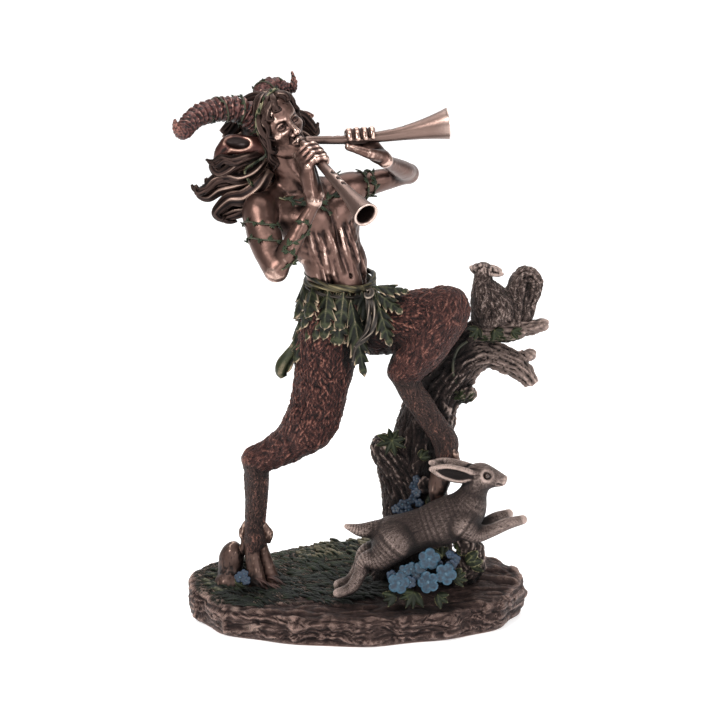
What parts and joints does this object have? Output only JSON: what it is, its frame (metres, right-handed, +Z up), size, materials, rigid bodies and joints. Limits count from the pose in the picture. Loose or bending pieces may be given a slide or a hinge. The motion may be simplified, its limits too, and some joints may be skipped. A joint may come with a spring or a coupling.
{
  "type": "faun statue",
  "caption": "Cold-cast bronze figurine of a horned faun who plays two pipes, one hoof on a tree stump, with a rabbit, a squirrel and flowers on an oval rocky base",
  "frame": {"origin": "middle of the flat underside of the base", "axes": "+Z up, +X to the viewer's right, along the base's length, and -Y to the side that the faun faces the viewer from"},
  "size_m": [0.1758, 0.1125, 0.2646],
  "materials": {
    "bronze_resin": "resin filled with bronze powder, satin, dark in the hollows and rubbed to copper on the high points",
    "red_brown_fur": "satin paint, red-brown over dark hollows",
    "horn_paint": "satin paint, rust red with pale ring crests",
    "green_paint": "matte paint, moss green over bronze",
    "grey_bark": "satin, grey-brown with copper crests",
    "grey_fur": "satin, grey bronze",
    "rope_paint": "satin paint, olive over bronze",
    "blue_paint": "matte paint, blue with pale rims"
  },
  "bodies": {
    "root": {"faun_statue": "bronze_resin"}
  },
  "joints": []
}
